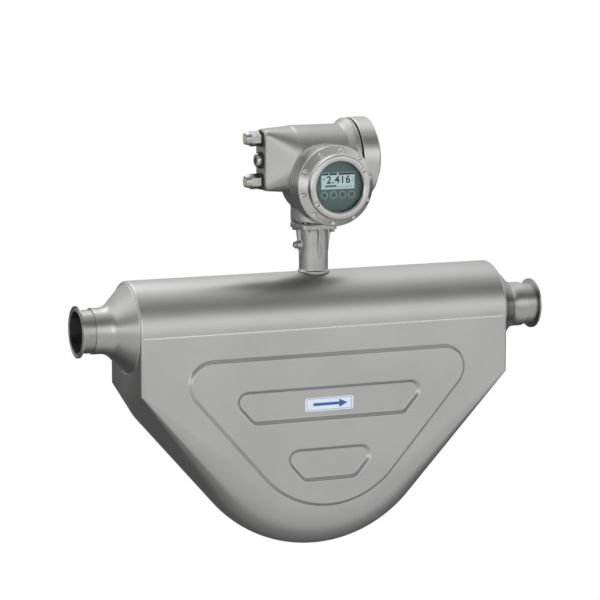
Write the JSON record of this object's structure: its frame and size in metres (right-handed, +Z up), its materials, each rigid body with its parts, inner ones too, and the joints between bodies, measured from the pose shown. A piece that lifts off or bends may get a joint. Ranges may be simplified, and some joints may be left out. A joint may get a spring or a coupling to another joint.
{
  "type": "coriolis mass flow meter",
  "caption": "Coriolis mass flow meter: V-shaped stainless sensor case with hygienic clamp ends and a display head on a neck.",
  "frame": {"origin": "centre of the inlet connection's sealing face, on the pipe axis", "axes": "+X along the flow from inlet to outlet, -Y towards the side that carries the display, +Z up towards the transmitter head"},
  "size_m": [0.88, 0.2145, 0.7684],
  "materials": {
    "case_steel": "bead-blasted satin stainless steel",
    "polished_steel": "finely polished stainless steel",
    "tube_steel": "drawn stainless steel",
    "cast_steel": "bright satin cast stainless steel",
    "fitting_steel": "turned stainless steel",
    "bolt_steel": "stainless steel screws",
    "coil_copper": "varnished copper winding",
    "magnet": "sintered magnet",
    "ceramic": "ceramic sensor body",
    "bushing_glass": "fused glass and pins",
    "loom": "braided glass fibre sleeve",
    "label": "printed foil",
    "seal": "black elastomer",
    "window_glass": "clear tempered glass",
    "display_plate": "dark grey moulded plate",
    "lcd": "reflective liquid crystal panel",
    "key": "dark tinted key windows",
    "circuit_board": "green solder mask",
    "carrier": "black moulded plastic",
    "terminal_plastic": "green terminal plastic",
    "gland_insert": "pale yellow-green sealing insert"
  },
  "bodies": {
    "meter": {"front_shell": "case_steel", "rear_shell": "case_steel", "top_barrel": "case_steel", "neck": "case_steel", "inlet_reducer": "polished_steel", "outlet_reducer": "polished_steel", "inlet_ferrule": "polished_steel", "outlet_ferrule": "polished_steel", "inlet_manifold": "tube_steel", "outlet_manifold": "tube_steel", "front_measuring_tube": "tube_steel", "rear_measuring_tube": "tube_steel", "inlet_upper_brace": "tube_steel", "inlet_lower_brace": "tube_steel", "outlet_upper_brace": "tube_steel", "outlet_lower_brace": "tube_steel", "coil_brackets": "tube_steel", "magnet_brackets": "tube_steel", "transmitter_housing": "cast_steel", "upper_gland_body": "fitting_steel", "lower_gland_body": "fitting_steel", "earth_clamp": "fitting_steel", "flange_screws": "bolt_steel", "earth_screw": "bolt_steel", "faceplate_screws": "bolt_steel", "terminal_screws": "bolt_steel", "drive_coil": "coil_copper", "inlet_pickoff_coil": "coil_copper", "outlet_pickoff_coil": "coil_copper", "drive_magnet": "magnet", "inlet_pickoff_magnet": "magnet", "outlet_pickoff_magnet": "magnet", "temperature_sensor": "ceramic", "feedthrough": "bushing_glass", "wiring_loom": "loom", "flow_label": "label", "neck_gasket": "seal", "upper_gland_washer": "seal", "lower_gland_washer": "seal", "display_faceplate": "display_plate", "lcd_panel": "lcd", "optical_keys": "key", "display_board": "circuit_board", "main_board": "circuit_board", "electronics_carrier": "carrier", "terminal_block": "terminal_plastic", "upper_gland_insert": "gland_insert", "lower_gland_insert": "gland_insert"},
    "display_cover_seal": {"display_cover_seal": "seal"},
    "display_cover": {"display_cover": "cast_steel", "display_window": "window_glass", "window_retainer": "fitting_steel"},
    "terminal_cover_seal": {"terminal_cover_seal": "seal"},
    "terminal_cover": {"terminal_cover": "cast_steel"},
    "plug_washer": {"plug_washer": "seal"},
    "blanking_plug": {"blanking_plug": "fitting_steel"},
    "upper_gland_nut": {"upper_gland_nut": "fitting_steel"},
    "lower_gland_nut": {"lower_gland_nut": "fitting_steel"}
  },
  "joints": [
    {"name": "display_cover_travel", "type": "slide", "parent": "meter", "child": "display_cover_seal", "axis": [0, -1, 0], "range_m": [0, 0.02]},
    {"name": "display_cover_turn", "type": "hinge", "parent": "display_cover_seal", "child": "display_cover", "pos_m": [0.444, -0.08, 0.246], "axis": [0, -1, 0], "range_deg": [0, 3600]},
    {"name": "terminal_cover_travel", "type": "slide", "parent": "meter", "child": "terminal_cover_seal", "axis": [1, 0, 0], "range_m": [0, 0.02]},
    {"name": "terminal_cover_turn", "type": "hinge", "parent": "terminal_cover_seal", "child": "terminal_cover", "pos_m": [0.524, 0, 0.2855], "axis": [1, 0, 0], "range_deg": [0, 3600]},
    {"name": "plug_travel", "type": "slide", "parent": "meter", "child": "plug_washer", "axis": [-1, 0, 0], "range_m": [0, 0.0075]},
    {"name": "plug_turn", "type": "hinge", "parent": "plug_washer", "child": "blanking_plug", "pos_m": [0.344, -0.001, 0.2855], "axis": [-1, 0, 0], "range_deg": [0, 1800]},
    {"name": "upper_gland_nut_turn", "type": "hinge", "parent": "meter", "child": "upper_gland_nut", "pos_m": [0.324, -0.001, 0.324], "axis": [-1, 0, 0], "range_deg": [0, 720]},
    {"name": "lower_gland_nut_turn", "type": "hinge", "parent": "meter", "child": "lower_gland_nut", "pos_m": [0.324, -0.001, 0.2485], "axis": [-1, 0, 0], "range_deg": [0, 720]}
  ],
  "couplings": [
    {"joint": "display_cover_travel", "follows": "display_cover_turn", "m_per_rad": 0.0003183},
    {"joint": "terminal_cover_travel", "follows": "terminal_cover_turn", "m_per_rad": 0.0003183},
    {"joint": "plug_travel", "follows": "plug_turn", "m_per_rad": 0.00023873}
  ]
}
